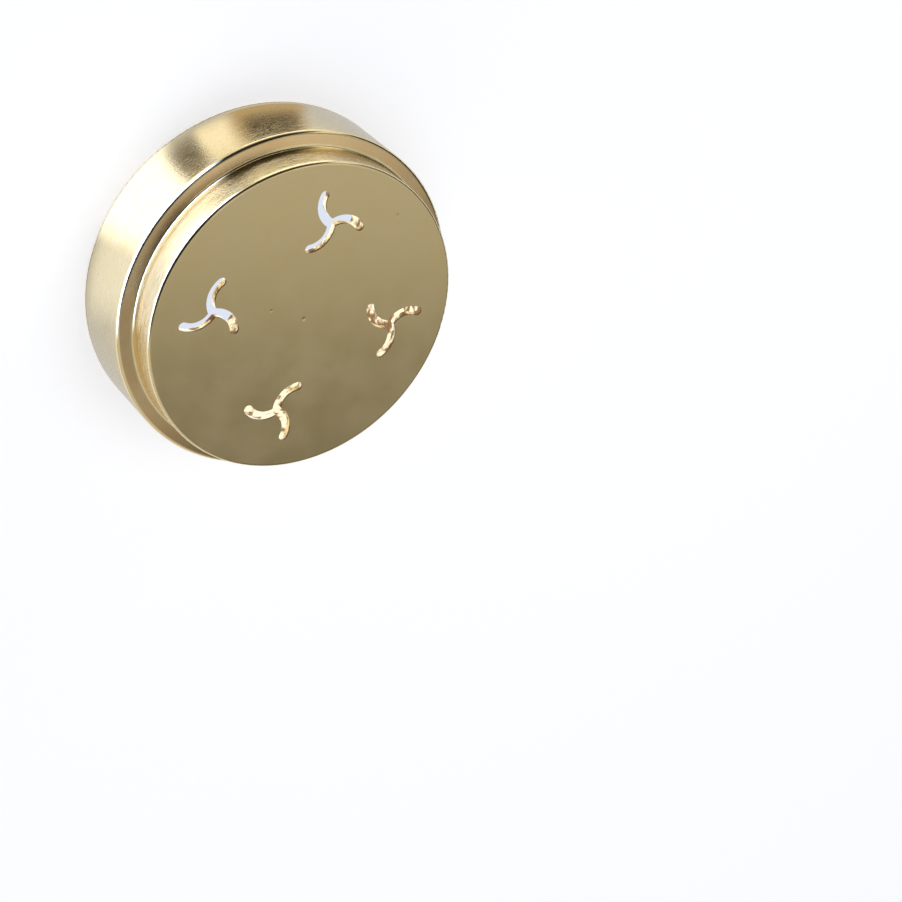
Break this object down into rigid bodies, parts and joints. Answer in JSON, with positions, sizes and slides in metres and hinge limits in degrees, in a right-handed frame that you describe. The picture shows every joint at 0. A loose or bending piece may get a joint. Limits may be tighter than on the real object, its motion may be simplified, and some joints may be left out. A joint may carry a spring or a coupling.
{
  "type": "pasta extrusion die",
  "caption": "Round brass pasta die: a flange with a raised boss, hollow behind as a dough chamber, and curved star-shaped slots in its face that shape the dough into spirals.",
  "frame": {"origin": "centre of the rear face, which the die lies on", "axes": "+Z along the die's axis to the front face, +X and +Y each through the centre of an outlet"},
  "size_m": [0.057, 0.057, 0.0185],
  "materials": {
    "brass": "fine-turned satin"
  },
  "bodies": {
    "root": {"die_body": "brass"}
  },
  "joints": []
}
